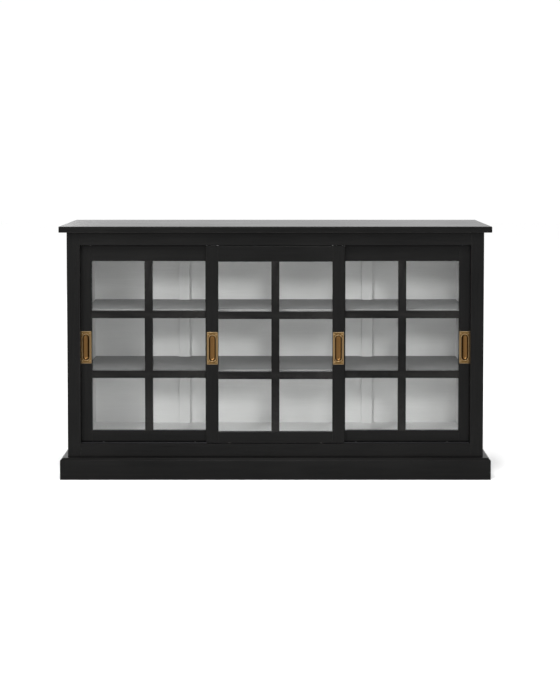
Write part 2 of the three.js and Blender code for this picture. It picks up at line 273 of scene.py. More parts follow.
class Finish:
    # One material under construction.
    def __init__(self, name):
        self.material = bpy.data.materials.new(name)
        self.material.use_nodes = True
        self.tree = self.material.node_tree
        self.tree.nodes.clear()

    # Adds a node: its type, its settings (set first), then its sockets' values or links.
    def node(self, kind, settings=None, sockets=None, output=0):
        made = self.tree.nodes.new(kind)
        for key, value in (settings or {}).items():
            if key == "stops":
                for stop, (position, shade) in zip(made.color_ramp.elements, value):
                    stop.position, stop.color = position, (shade, shade, shade, 1)
            else:
                setattr(made, key, value)
        for key, value in (sockets or {}).items():
            if isinstance(value, Field):
                self.tree.links.new(value.socket, made.inputs[key])
            else:
                made.inputs[key].default_value = value
        return Field(self.tree, made.outputs[output]) if made.outputs else None

    def noise(self, scale, detail=3.0, roughness=0.5, stretch=None):
        place = self.node("ShaderNodeTexCoord", output="Object")
        if stretch is not None:
            place = self.node("ShaderNodeMapping", None, {"Vector": place, "Scale": stretch})
        sockets = {"Vector": place, "Scale": scale, "Detail": detail, "Roughness": roughness}
        return self.node("ShaderNodeTexNoise", None, sockets)

    def ramp(self, value, low, high):
        return self.node("ShaderNodeValToRGB", {"stops": [(low, 0.0), (high, 1.0)]}, {0: value})

    # How far back a point of the surface lies.
    def depth(self):
        place = self.node("ShaderNodeTexCoord", output="Object")
        return self.node("ShaderNodeSeparateXYZ", None, {"Vector": place}, "Y")

    def rub(self):
        return self.node("ShaderNodeAttribute", {"attribute_name": "rub"}, output="Fac")

    def mixed(self, share, first, second):
        return self.node("ShaderNodeMix", {"data_type": "RGBA"}, {0: share, 6: first, 7: second}, 2)

    def bump(self, height, distance, strength=1.0):
        return self.node(
            "ShaderNodeBump", None, {"Height": height, "Distance": distance, "Strength": strength}
        )

    def done(self, shader):
        self.node("ShaderNodeOutputMaterial", None, {"Surface": shader})
        return self.material

    def principled(self, sockets):
        return self.done(self.node("ShaderNodeBsdfPrincipled", None, sockets))


def colour(red, green, blue):
    return (red, green, blue, 1.0)


blackPaintLook = {
    "deep": colour(0.0020, 0.0020, 0.0020),
    "light": colour(0.0050, 0.0049, 0.0047),
    "rubbed": colour(0.020, 0.019, 0.018),
    "roughness": 0.30,
    "specular": 0.065,
    "polish": 0.065,  # how much smoother the top is
    "bump": 0.35,
    "fineScale": 420.0,  # scales are per metre
    "cloudScale": 3.5,
    "wearScale": 26.0,
    "grainStretch": {"x": (7.0, 150.0, 150.0), "z": (150.0, 150.0, 7.0), "even": (40.0, 40.0, 40.0)},
}


# Satin black over timber: fine roller texture plus a faint grain along the board, a little
# thinner and paler where the edges are eased.
def blackPaint(along, polish=0.0):
    look = blackPaintLook
    finish = Finish("black_paint_" + along + ("_top" if polish else ""))
    grain = finish.noise(1.0, 6.0, 0.62, look["grainStretch"][along])
    cloud = finish.noise(look["cloudScale"], 3.0, 0.5)
    fine = finish.noise(look["fineScale"], 2.0, 0.5)
    markLevel = (finish.rub() * (0.35 + 0.9 * finish.noise(look["wearScale"], 4.0, 0.6))).clamped()
    depth = finish.ramp(0.55 * grain + 0.45 * cloud, 0.32, 0.7)
    ground = finish.mixed(depth, look["deep"], look["light"])
    uneven = 0.10 * (grain - 0.5) + 0.07 * (cloud - 0.5)
    return finish.principled(
        {
            "Base Color": finish.mixed(markLevel * 0.55, ground, look["rubbed"]),
            "Roughness": look["roughness"] - polish + uneven - 0.05 * markLevel,
            "Specular IOR Level": look["specular"],
            "Normal": finish.bump(0.6 * fine + 0.9 * grain, 0.22 * mm, look["bump"]),
        }
    )


whitePaintLook = {
    "clean": colour(0.76, 0.758, 0.755),
    "dull": colour(0.665, 0.663, 0.66),
    "roughness": {"floor": 0.4},  # 0.5 on the other boards
    "gloss": {"floor": 0.8, "shelf": 0.1},  # specular level, 0.4 on the other boards
    "bump": {"floor": 0.1},  # 0.3 on the other boards
    "cloudScale": 5.0,
    "fineScale": 380.0,
    "black": colour(0.004, 0.004, 0.004),
    "board": colour(0.235, 0.150, 0.085),
    "fibre": colour(0.155, 0.093, 0.050),
    "shelf": colour(0.085, 0.085, 0.086),
    "edge": colour(0.165, 0.165, 0.164),
    # painted light: the floor's whiter coat brightens a floor that the shelves and doors shade
    "floor": colour(0.92, 0.918, 0.915),
}


# Matte off-white: an even sprayed coat with a little dust in its lows. The floor is black in
# front of a depth and, behind it, a whiter coat that is painted light; a shelf is grey behind a depth,
# and the back board's rear face is bare fibre.
def whitePaint(along, kind=None, edge=0.0):
    look = whitePaintLook
    finish = Finish("white_paint_" + (kind or along))
    cloud = finish.noise(look["cloudScale"], 4.0, 0.55)
    fine = finish.noise(look["fineScale"], 2.0, 0.5)
    grain = finish.noise(1.0, 4.0, 0.6, blackPaintLook["grainStretch"][along])
    dust = finish.ramp(0.6 * cloud + 0.4 * grain, 0.35, 0.72)
    ground = finish.mixed(dust, look["clean"], look["dull"])
    if kind:
        behind = finish.depth().math("GREATER_THAN", edge)
        if kind == "floor":
            # Behind the depth the floor is mixed most of the way to a whiter coat, painted light that
            # brightens the shaded floor.
            ground = finish.mixed(behind, look["black"], finish.mixed(0.8, ground, look["floor"]))
        elif kind == "back":
            fleck = finish.ramp(0.5 * fine + 0.5 * cloud, 0.38, 0.62)
            ground = finish.mixed(behind, ground, finish.mixed(fleck, look["board"], look["fibre"]))
        else:
            grey = finish.mixed(0.08 * cloud, look["shelf"], ground)
            ground = finish.mixed(behind, look["edge"], grey)
    return finish.principled(
        {
            "Base Color": ground,
            "Roughness": look["roughness"].get(kind, 0.5) + 0.12 * (cloud - 0.5),
            "Specular IOR Level": look["gloss"].get(kind, 0.4),
            "Normal": finish.bump(0.7 * fine + 0.5 * grain, 0.18 * mm, look["bump"].get(kind, 0.3)),
        }
    )


glassLook = {
    "tint": colour(0.984, 0.988, 0.985),
    "mirror": colour(0.96, 0.97, 0.965),
    "least": 0.02,
    "smearScale": 9.0,
}


# Clear float glass in a thin sheet: what is behind it shows straight through, and it mirrors
# more as it is seen more from the side: least + (1 - least) * facing to the fifth.
def clearGlass():
    look = glassLook
    finish = Finish("clear_glass")
    facing = finish.node("ShaderNodeLayerWeight", None, {"Blend": 0.5}, "Facing")
    share = (look["least"] + (1 - look["least"]) * facing**5).clamped()
    through = finish.node("ShaderNodeBsdfTransparent", None, {"Color": look["tint"]})
    smear = 0.015 + 0.03 * finish.noise(look["smearScale"], 3.0, 0.5)
    mirror = finish.node("ShaderNodeBsdfGlossy", None, {"Color": look["mirror"], "Roughness": smear})
    return finish.done(finish.node("ShaderNodeMixShader", None, {0: share, 1: through, 2: mirror}))


brassLook = {
    "bright": colour(0.30, 0.212, 0.112),
    "warm": colour(0.105, 0.060, 0.021),
    "patina": colour(0.052, 0.029, 0.010),
    "amber": colour(0.100, 0.052, 0.018),
    # painted shade: the near-black that darkens the pulls' cup walls, creases and screw slots
    "paintedShade": colour(0.022, 0.011, 0.005),
    "blotchScale": 170.0,
    "brushStretch": (2600.0, 2600.0, 130.0),
}


# Aged brass: bright where it is rubbed, brown where the patina sits, amber in the hollows, and
# almost black in their steep walls and corners, which is painted shade.
def agedBrass():
    look = brassLook
    finish = Finish("aged_brass")
    rub = finish.rub()
    blotch = finish.noise(look["blotchScale"], 5.0, 0.62)
    brushed = finish.noise(1.0, 3.0, 0.5, look["brushStretch"])
    ground = finish.mixed(finish.ramp(blotch, 0.36, 0.68), look["warm"], look["patina"])
    shine = (rub * (0.55 + 0.9 * blotch)).clamped()
    # Below 0 the mark brings amber patina into the hollows; deeper down it mixes in painted shade,
    # almost black, on the cup's walls and creases.
    patinaAndShade = rub * -1.0 * (0.8 + 0.4 * blotch)
    rubbed = finish.mixed(shine, ground, look["bright"])
    aged = finish.mixed((2.4 * patinaAndShade).clamped(), rubbed, look["amber"])
    return finish.principled(
        {
            "Base Color": finish.mixed((2.0 * patinaAndShade - 0.95).clamped(), aged, look["paintedShade"]),
            "Metallic": 1.0,
            "Roughness": 0.20 + 0.14 * blotch + 0.05 * brushed,
            "Normal": finish.bump(0.5 * blotch + 0.5 * brushed, 0.08 * mm, 0.5),
        }
    )


# A plain hard finish with a fine tooth, for small fittings.
def fittingFinish(name, low, high, metallic, roughness, scale):
    finish = Finish(name)
    tooth = finish.noise(scale, 4.0, 0.6)
    return finish.principled(
        {
            "Base Color": finish.mixed(finish.ramp(tooth, 0.35, 0.7), low, high),
            "Metallic": metallic,
            "Roughness": roughness + 0.18 * (tooth - 0.5),
            "Normal": finish.bump(tooth, 0.06 * mm, 0.4),
        }
    )


finishes = {
    "blackX": blackPaint("x"),
    "blackZ": blackPaint("z"),
    "blackEven": blackPaint("even"),
    "blackTop": blackPaint("x", blackPaintLook["polish"]),
    "whiteX": whitePaint("x"),
    "whiteZ": whitePaint("z"),
    "whiteFloor": whitePaint("x", "floor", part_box("side_lining_left")[0][1]),
    "backBoard": whitePaint("x", "back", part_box("back_panel")[1][1] - 0.8 * mm),
    "greyShelf": whitePaint("x", "shelf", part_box("shelf_lower")[0][1] + 1.2 * mm),
    "glass": clearGlass(),
    "brass": agedBrass(),
    "blackMetal": fittingFinish(
        "black_metal", colour(0.008, 0.008, 0.009), colour(0.02, 0.02, 0.022), 0.85, 0.42, 900.0
    ),
    "nylon": fittingFinish(
        "grey_nylon", colour(0.34, 0.34, 0.335), colour(0.46, 0.46, 0.45), 0.0, 0.45, 700.0
    ),
    "nickel": fittingFinish(
        "nickel", colour(0.52, 0.50, 0.46), colour(0.66, 0.64, 0.60), 1.0, 0.28, 1200.0
    ),
    "steel": fittingFinish(
        "zinc_plate", colour(0.38, 0.39, 0.40), colour(0.56, 0.57, 0.58), 1.0, 0.36, 800.0
    ),
    "felt": fittingFinish(
        "felt", colour(0.02, 0.02, 0.02), colour(0.045, 0.045, 0.044), 0.0, 0.95, 1600.0
    ),
}
print("finishes:", len(finishes))


creaseAngle = 42  # degrees; a sharper edge stays sharp under smooth shading


# Gives a new piece its finish, smooth shading that keeps flats flat and its body, and hides
# the CAD nodes that it stands for.
def dress(piece, finishName, body, replaced=()):
    piece.data.materials.append(finishes[finishName])
    piece.data.shade_smooth()
    piece.data.set_sharp_from_angle(angle=math.radians(creaseAngle))
    flats = piece.modifiers.new("flats", "WEIGHTED_NORMAL")
    flats.mode = "FACE_AREA"
    flats.weight = 100
    flats.keep_sharp = True
    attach(piece, body)
    if replaced:
        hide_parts(*replaced)
    return piece


# Puts a finish on a CAD node that keeps its own shape.
def paintNode(name, finishName):
    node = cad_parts[name]
    node.data.materials.clear()
    node.data.materials.append(finishes[finishName])


# A plain board over a CAD node's box, carried along the way that its frame names.
def board(name, frameName, edgeRound, ease, finishName, body="cabinet"):
    low, high = boxOf(name)
    corners = np.array([low, high]) @ frames[frameName].T
    outline = roundedOutline(rectangle(corners.min(0)[:2], corners.max(0)[:2]), edgeRound)
    made = bar(name + "_board", outline, frameName, corners.min(0)[2], corners.max(0)[2], ease)
    return dress(made, finishName, body, (name,))


boards = {  # the way it is carried, the round of its long edges, the ease of its ends, its finish
    "top_panel": ("x", 2.4 * mm, 2.4 * mm, "blackTop"),
    "side_panel_left": ("z", 1.0 * mm, 0.6 * mm, "blackZ"),
    "side_panel_right": ("z", 1.0 * mm, 0.6 * mm, "blackZ"),
    "frame_stile_left": ("z", 1.1 * mm, 0.5 * mm, "blackZ"),
    "frame_stile_right": ("z", 1.1 * mm, 0.5 * mm, "blackZ"),
    "door_jamb_left": ("z", 0.8 * mm, 0.5 * mm, "blackZ"),
    "door_jamb_right": ("z", 0.8 * mm, 0.5 * mm, "blackZ"),
    "ceiling_panel": ("x", 0.6 * mm, 0.5 * mm, "whiteX"),
    "back_panel": ("x", 0.5 * mm, 0.5 * mm, "backBoard"),
    "back_batten_left": ("z", 1.6 * mm, 0.5 * mm, "whiteZ"),
    "back_batten_right": ("z", 1.6 * mm, 0.5 * mm, "whiteZ"),
}
for boardName, boardFacts in boards.items():
    board(boardName, *boardFacts)

trackFacts = {
    "width": 3.0 * mm,
    "letIn": 3.0 * mm,
    "kerfPlay": 0.2 * mm,
    "grooveWidth": 7.0 * mm,
    "grooveDepth": 9.0 * mm,
    "round": 0.5 * mm,
    "ease": 0.5 * mm,
    "stripEase": 0.2 * mm,
}


def trackMiddle(name):
    low, high = boxOf(name)
    return (low[1] + high[1]) / 2


# A rail or board along x, with a notch of a width and depth, open below or above.
def notchedBoard(name, middle, width, depth, fromBelow, finishName):
    low, high = boxOf(name)
    near, far = middle - width / 2, middle + width / 2
    if fromBelow:
        inner = low[2] + depth
        corners = [
            (low[1], low[2]), (near, low[2]), (near, inner), (far, inner),
            (far, low[2]), (high[1], low[2]), (high[1], high[2]), (low[1], high[2]),
        ]
    else:
        inner = high[2] - depth
        corners = [
            (low[1], low[2]), (high[1], low[2]), (high[1], high[2]), (far, high[2]),
            (far, inner), (near, inner), (near, high[2]), (low[1], high[2]),
        ]
    outline = roundedOutline(corners, trackFacts["round"], 3)
    made = bar(name + "_board", outline, "x", low[0], high[0], trackFacts["ease"])
    dress(made, finishName, "cabinet", (name,))


frontTrack, rearTrack = trackMiddle("track_front"), trackMiddle("track_rear")
grooveSize = (trackFacts["grooveWidth"], trackFacts["grooveDepth"])
kerfSize = (trackFacts["width"] + trackFacts["kerfPlay"], trackFacts["letIn"])
notchedBoard("frame_rail_top", frontTrack, *grooveSize, True, "blackX")
notchedBoard("top_guide_rail", rearTrack, *grooveSize, True, "blackX")
notchedBoard("frame_rail_bottom", frontTrack, *kerfSize, False, "blackX")
notchedBoard("bottom_panel", rearTrack, *kerfSize, False, "whiteFloor")


# A track strip with a half-round head.
def trackStrip(name):
    low, high = boxOf(name)
    half = (high[1] - low[1]) / 2
    head = arc((trackMiddle(name), high[2] - half), half, 0, 180, 8)
    points = np.concatenate([[(low[1], low[2]), (high[1], low[2])], head])
    normals = np.concatenate([[(-0.7, -0.7), (0.7, -0.7)], (head - head.mean(0)) / half])
    outline = (points, normals, np.zeros(len(points)))
    made = bar(name + "_strip", outline, "x", low[0], high[0], trackFacts["stripEase"])
    dress(made, "blackMetal", "cabinet", (name,))


trackStrip("track_front")
trackStrip("track_rear")

for hand in handNames:
    paintNode("side_lining_" + hand, "whiteZ")

plinthFacts = {"ledge": 15.0 * mm, "slope": 8.0 * mm, "round": 1.1 * mm, "ease": 0.1 * mm}


# The plinth's outline, out from the carcass and up: a foot, a sloped edge and a flat ledge.
def plinthOutline(deep, tall):
    ledge, slope = plinthFacts["ledge"], plinthFacts["slope"]
    return [(0, 0), (deep, 0), (deep, tall - slope), (ledge, tall), (0, tall)]


# Each length is carried past the corner by as much as a point stands out, which mitres it.
def plinthLength(name, frameName, corners, start, end, slant):
    outline = roundedOutline(corners, plinthFacts["round"])
    made = bar(name + "_moulding", outline, frameName, start, end, plinthFacts["ease"], slant)
    dress(made, "blackX", "cabinet", (name,))


def plinth():
    low, high = boxOf("plinth_front")
    face, side, rear = high[1], boxOf("side_panel_right")[1][0], boxOf("plinth_right")[1][1]
    profile = plinthOutline(high[1] - low[1], high[2] - low[2])
    plinthLength(
        "plinth_front",
        "x",
        [(face - out, up) for out, up in profile][::-1],
        -side,
        side,
        lambda flat: (flat[..., 0] - face, face - flat[..., 0]),
    )
    plinthLength(
        "plinth_right",
        "front",
        [(side + out, up) for out, up in profile],
        -rear,
        -face,
        lambda flat: (0 * flat[..., 0], flat[..., 0] - side),
    )
    plinthLength(
        "plinth_left",
        "front",
        [(-side - out, up) for out, up in profile][::-1],
        -rear,
        -face,
        lambda flat: (0 * flat[..., 0], -flat[..., 0] - side),
    )


plinth()
print("carcass and plinth")

shelfFacts = {"round": 1.2 * mm, "ease": 1.6 * mm, "notchPlay": 1.0 * mm}


# A shelf's outline from above, notched over the battens, carried up through its thickness.
def shelf(name):
    low, high = boxOf(name)
    battenLow, battenHigh = boxOf("back_batten_right")
    inner = battenLow[0] - shelfFacts["notchPlay"]
    outer = battenHigh[0] + shelfFacts["notchPlay"]
    floor = battenLow[1] - shelfFacts["notchPlay"]
    half = [
        (high[0], low[1]), (high[0], high[1]), (outer, high[1]),
        (outer, floor), (inner, floor), (inner, high[1]),
    ]
    corners = half + [(-x, y) for x, y in half[::-1]]
    outline = roundedOutline(corners, shelfFacts["round"])
    made = bar(name + "_board", outline, "z", low[2], high[2], shelfFacts["ease"])
    dress(made, "greyShelf", "cabinet", (name,))


pegFacts = {
    "head": 4.5 * mm,
    "neck": 3.2 * mm,
    "pin": 2.5 * mm,
    "reach": 7.0 * mm,
    "depth": 8.0 * mm,
    "bevel": 0.4 * mm,
    "round": 1.2 * mm,
    "facets": 28,
}


# A turned peg: pin, flange against the lining, neck, and a domed head under the shelf.
def peg(name, hand):
    low, high = boxOf(name)
    lining = boxOf("side_lining_" + hand)
    face = lining[0][0] if hand == "right" else lining[1][0]
    keys = ("head", "neck", "pin", "reach", "depth", "bevel", "round")
    head, neck, pin, reach, depth, bevel, domed = (pegFacts[key] for key in keys)
    profile = np.concatenate(
        [
            [(pin - bevel, -depth), (pin, -depth + bevel), (pin, -0.05 * mm), (head, 0.05 * mm)],
            [(head, 1.1 * mm), (neck, 1.6 * mm), (neck, 2.6 * mm)],
            arc((head - domed, reach - domed), domed, -60, 85, 7),
        ]
    )
    shell = Shell()
    centre = (face, (low[1] + high[1]) / 2, (low[2] + high[2]) / 2)
    addTurned(shell, profile, inwards(hand), centre, pegFacts["facets"])
    dress(shell.piece(name + "_turned"), "nickel", "cabinet", (name,))


for level in ("lower", "upper"):
    shelf("shelf_" + level)
    for hand in handNames:
        for end in ("front", "rear"):
            peg(f"shelf_peg_{level}_{hand}_{end}", hand)
print("shelves and their pegs")

backScrewFacts = {
    "head": 4.2 * mm,
    "rise": 1.7 * mm,
    "sunk": 0.3 * mm,
    "inset": 9.0 * mm,
    "columns": 9,
    "rows": 4,
    "facets": 20,
}


# Domed heads, evenly spaced round the back panel's edges. A head's profile is
# (head * sin a, rise * cos a) from its rim to a tiny flat at its middle.
def backScrews():
    low, high = boxOf("back_panel")
    facts = backScrewFacts
    inset, head = facts["inset"], facts["head"]
    across = np.linspace(low[0] + inset, high[0] - inset, facts["columns"])
    upwards = np.linspace(low[2] + inset, high[2] - inset, facts["rows"])
    places = [(x, z) for x in across for z in (upwards[0], upwards[-1])]
    places += [(x, z) for x in (across[0], across[-1]) for z in upwards[1:-1]]
    angle = np.linspace(1.5, 0, 7)
    profile = np.c_[head * np.sin(angle), facts["rise"] * np.cos(angle)]
    profile[-1, 0] = 0.3 * mm
    profile = np.concatenate([[(head, -facts["sunk"])], profile])
    shell = Shell()
    for x, z in places:
        addTurned(shell, profile, "back", (x, high[1], z), facts["facets"])
    dress(shell.piece("back_panel_screws"), "steel", "cabinet")


bufferFacts = {
    "radius": 5.0 * mm,
    "thick": 1.6 * mm,
    "round": 1.0 * mm,
    "levels": (0.2, 0.5, 0.8),  # shares of the jamb's height
    "facets": 24,
}


# Soft buttons on a jamb, where the side door comes to rest.
def buffers(hand):
    low, high = boxOf("door_jamb_" + hand)
    facts = bufferFacts
    radius, thick, domed = facts["radius"], facts["thick"], facts["round"]
    face = low[0] if hand == "right" else high[0]
    middle = (low[1] + high[1]) / 2
    profile = np.concatenate(
        [
            [(radius, -0.2 * mm), (radius, thick - domed)],
            arc((radius - domed, thick - domed), domed, 15, 90, 5),
            [(0.5 * mm, thick)],
        ]
    )
    shell = Shell()
    for level in facts["levels"]:
        centre = (face, middle, low[2] + level * (high[2] - low[2]))
        addTurned(shell, profile, inwards(hand), centre, facts["facets"])
    dress(shell.piece("door_jamb_" + hand + "_buffers"), "felt", "cabinet")


backScrews()
for hand in handNames:
    buffers(hand)
print("back screws and buffers")

doorFacts = {
    "round": 0.9 * mm,
    "ease": 0.4 * mm,
    "rebateDeep": 14.0 * mm,
    "rebateLap": 8.0 * mm,
    "tongueWidth": 5.0 * mm,
    "pullMargin": 4.0 / 3 * mm,  # from a hollow to the rings of points on both sides of it
    "rollerMargin": 4.0 * mm,
    "arcSteps": 4,
}


def doorBody(door):
    return door + "_door"


# Rings of an upright slot or rectangle in the door's face. Each row is
# (half width, half height, corner radius, depth behind the face).
def faceRings(x, level, face, rows, steps):
    rings = []
    for halfWide, halfTall, radius, behind in rows:
        corners = rectangle((x - halfWide, level - halfTall), (x + halfWide, level + halfTall))
        points = roundedOutline(corners, radius, steps)[0]
        rings.append(np.c_[points, np.full(len(points), -(face + behind))])
    return np.array(rings) @ frames["front"]


pullFacts = {
    "halfWide": 17.5 * mm,
    "halfTall": 52.5 * mm,
    "corner": 1.3 * mm,
    "rim": 0.55 * mm,  # round of the plate's front edge
    "proud": 0.5 * mm,
    "back": 1.5 * mm,
    "slot": 31.25 * mm,  # half of the slot's straight part
    "outer": 12.0 * mm,  # half widths of the cup's outside and mouth
    "inner": 11.2 * mm,
    "deep": 9.4 * mm,
    "cupRound": 3.0 * mm,
    "bead": 1.2 * mm,  # from the mouth out to the middle of the raised bead round it
    "beadHalf": 1.1 * mm,
    "beadRise": 0.55 * mm,
    "pocketPlay": 0.4 * mm,
}


def pullCentre(nodeName):
    low, high = boxOf(nodeName)
    return (low[0] + high[0]) / 2, (low[2] + high[2]) / 2


# The hollow behind a pull: the plate's shallow bed, then the deep slot for its cup.
def pullHollow(x, level, face):
    facts = pullFacts
    play, back = facts["pocketPlay"], facts["back"]
    bed = (facts["halfWide"] + play / 2, facts["halfTall"] + play / 2, facts["corner"])
    cup = facts["outer"] + play
    slot = (cup, facts["slot"] + cup, cup - 0.01 * mm)
    rows = [(*bed, 0.0), (*bed, back), (*slot, back), (*slot, facts["deep"] + 2.0 * mm)]
    rings = faceRings(x, level, face, rows, doorFacts["arcSteps"])
    return {"low": level - bed[1], "high": level + bed[1], "rings": rings}


# An upright of a door, rebated behind for the glass; one that holds a pull has its hollow.
def doorStile(door, hand):
    name = f"{door}_door_stile_{hand}"
    low, high = boxOf(name)
    ease, steps, lap = (doorFacts[key] for key in ("ease", "arcSteps", "rebateLap"))
    step = low[1] + doorFacts["rebateDeep"]
    if hand == "left":
        inside, edge = high[0], high[0] - lap
        corners = [
            (low[0], low[1]), (inside, low[1]), (inside, step),
            (edge, step), (edge, high[1]), (low[0], high[1]),
        ]
    else:
        inside, edge = low[0], low[0] + lap
        corners = [
            (inside, low[1]), (high[0], low[1]), (high[0], high[1]),
            (edge, high[1]), (edge, step), (inside, step),
        ]
    outline = roundedOutline(corners, doorFacts["round"], steps)
    place = (name + "_wood", outline, "z", low[2], high[2], ease)
    if hand in doorPulls[door]:
        hollow = pullHollow(*pullCentre(pullName(door, hand)), low[1])
        made = pocketedBar(*place, steps, [hollow], doorFacts["pullMargin"])
    else:
        made = bar(*place)
    dress(made, "blackZ", doorBody(door), (name,))


def pullName(door, hand):
    return f"{door}_door_pull_{hand}" if door == "middle" else door + "_door_pull"


# A door's top rail, with the tongue that runs in the guide above it.
def doorRailTop(door):
    name = door + "_door_rail_top"
    low, high = boxOf(name)
    stileTop = boxOf(door + "_door_stile_left")[1][2]
    deep, lap, tongue = (doorFacts[key] for key in ("rebateDeep", "rebateLap", "tongueWidth"))
    step, middle = low[1] + deep, (low[1] + high[1]) / 2
    corners = [
        (low[1], low[2]), (step, low[2]), (step, low[2] + lap), (high[1], low[2] + lap),
        (high[1], stileTop), (middle + tongue / 2, stileTop), (middle + tongue / 2, high[2]),
        (middle - tongue / 2, high[2]), (middle - tongue / 2, stileTop), (low[1], stileTop),
    ]
    outline = roundedOutline(corners, doorFacts["round"], doorFacts["arcSteps"])
    made = bar(name + "_wood", outline, "x", low[0], high[0], doorFacts["ease"])
    dress(made, "blackX", doorBody(door), (name,))


rollerFacts = {
    "pocketHalf": 10.0 * mm,
    "pocketWide": 8.0 * mm,
    "pocketRise": 16.0 * mm,
    "wheel": 8.5 * mm,
    "groove": 6.5 * mm,
    "half": 3.0 * mm,
    "rim": 0.3 * mm,
    "hollow": 0.9 * mm,  # radius of the groove's two corners
    "dish": 0.5 * mm,  # how far the wheel's face is sunk between its rim and its hub
    "pin": 1.5 * mm,
    "pinHalf": 6.8 * mm,
    "bevel": 0.3 * mm,
    "cornerRound": 0.8 * mm,
    "channel": 0.45 * mm,
    "facets": 48,
}


# A door's bottom rail. Its outline starts with the underside, which has the roller pockets.
def doorRailBottom(door):
    name = door + "_door_rail_bottom"
    low, high = boxOf(name)
    ease, steps = doorFacts["ease"], doorFacts["arcSteps"]
    step, ledge = low[1] + doorFacts["rebateDeep"], high[2] - doorFacts["rebateLap"]
    corners = [
        (low[1], low[2]), (high[1], low[2]), (high[1], ledge),
        (step, ledge), (step, high[2]), (low[1], high[2]),
    ]
    outline = roundedOutline(corners, doorFacts["round"], steps)
    half, wide, rise = (rollerFacts[key] for key in ("pocketHalf", "pocketWide", "pocketRise"))
    middle = (low[1] + high[1]) / 2
    hollows = []
    for hand in handNames:
        rollerLow, rollerHigh = boxOf(f"{door}_door_roller_{hand}")
        x = (rollerLow[0] + rollerHigh[0]) / 2
        pocket = rectangle((middle - wide / 2, x - half), (middle + wide / 2, x + half))
        mouth = roundedOutline(pocket, rollerFacts["cornerRound"], steps)[0]
        levels = (low[2], low[2] + rise)
        rings = [np.c_[mouth[:, 1], mouth[:, 0], np.full(len(mouth), level)] for level in levels]
        hollows.append({"low": x - half, "high": x + half, "rings": np.array(rings)})
    place = (name + "_wood", outline, "x", low[0], high[0], ease)
    made = pocketedBar(*place, steps, hollows, doorFacts["rollerMargin"])
    dress(made, "blackX", doorBody(door), (name,))


muntinFacts = {
    "upright": 26.0 * mm,
    "bar": 24.0 * mm,
    "levels": (338.0 * mm, 534.5 * mm),  # heights of the cross bars' middles
    "round": 1.0 * mm,
    "ease": 0.9 * mm,  # stays under the round, so that the ends' corners don't cross
}


# One upright and two cross bars, as one outline carried from back to front.
def doorMuntins(door):
    name = door + "_door_muntins"
    low, high = boxOf(name)
    centre = (low[0] + high[0]) / 2
    reach = high[0] - centre
    half, thick = muntinFacts["upright"] / 2, muntinFacts["bar"] / 2
    right = [(half, low[2])]
    for level in muntinFacts["levels"]:
        under, over = level - thick, level + thick
        right += [(half, under), (reach, under), (reach, over), (half, over)]
    right.append((half, high[2]))
    corners = [(centre + x, z) for x, z in right] + [(centre - x, z) for x, z in right[::-1]]
    outline = roundedOutline(corners, muntinFacts["round"], 3)
    made = bar(name + "_wood", outline, "front", -high[1], -low[1], muntinFacts["ease"])
    dress(made, "blackEven", doorBody(door), (name,))


glassFacts = {"round": 1.0 * mm, "ease": 0.4 * mm}


def doorGlass(door):
    name = door + "_door_glass"
    low, high = boxOf(name)
    outline = roundedOutline(rectangle((low[0], low[2]), (high[0], high[2])), glassFacts["round"])
    made = bar(name + "_sheet", outline, "front", -high[1], -low[1], glassFacts["ease"])
    dress(made, "glass", doorBody(door), (name,))


beadFacts = {"wide": 7.4 * mm, "deep": 3.7 * mm, "round": 3.2 * mm, "past": 0.4 * mm, "gap": 0.1 * mm}


# Four mitred beads that hold the glass from behind. A bead's outline is (in from the rebate's
# wall, behind the glass), with a quarter-round inner edge, and each end draws in by as much as a
# point stands in from the wall.
def glazingBeads(door):
    glassLow, glassHigh = boxOf(door + "_door_glass")
    wide, deep, curve, past, gap = beadFacts.values()
    face = glassHigh[1] + gap
    quarter = arc((wide - curve, deep - curve), curve, 90, 0, 5)
    section = np.concatenate([[(0, 0), (0, deep)], quarter, [(wide, 0)]])
    sides = [
        (0, glassLow[2] - past, 1, glassLow[0], glassHigh[0]),
        (0, glassHigh[2] + past, -1, glassLow[0], glassHigh[0]),
        (2, glassLow[0] - past, 1, glassLow[2], glassHigh[2]),
        (2, glassHigh[0] + past, -1, glassLow[2], glassHigh[2]),
    ]
    shell = Shell()
    for along, wall, inward, start, end in sides:
        across = 2 if along == 0 else 0
        rings = np.zeros((2, len(section), 3))
        rings[:, :, 1] = face + section[:, 1]
        rings[:, :, across] = wall + inward * section[:, 0]
        rings[0, :, along] = start + section[:, 0]
        rings[1, :, along] = end - section[:, 0]
        if (inward > 0) == (along == 0):
            rings = rings[:, ::-1]
        index = shell.add(rings, 0.1)
        shell.skin(index)
        shell.caps(index)
    dress(shell.piece(door + "_door_glazing_beads"), "blackEven", doorBody(door))
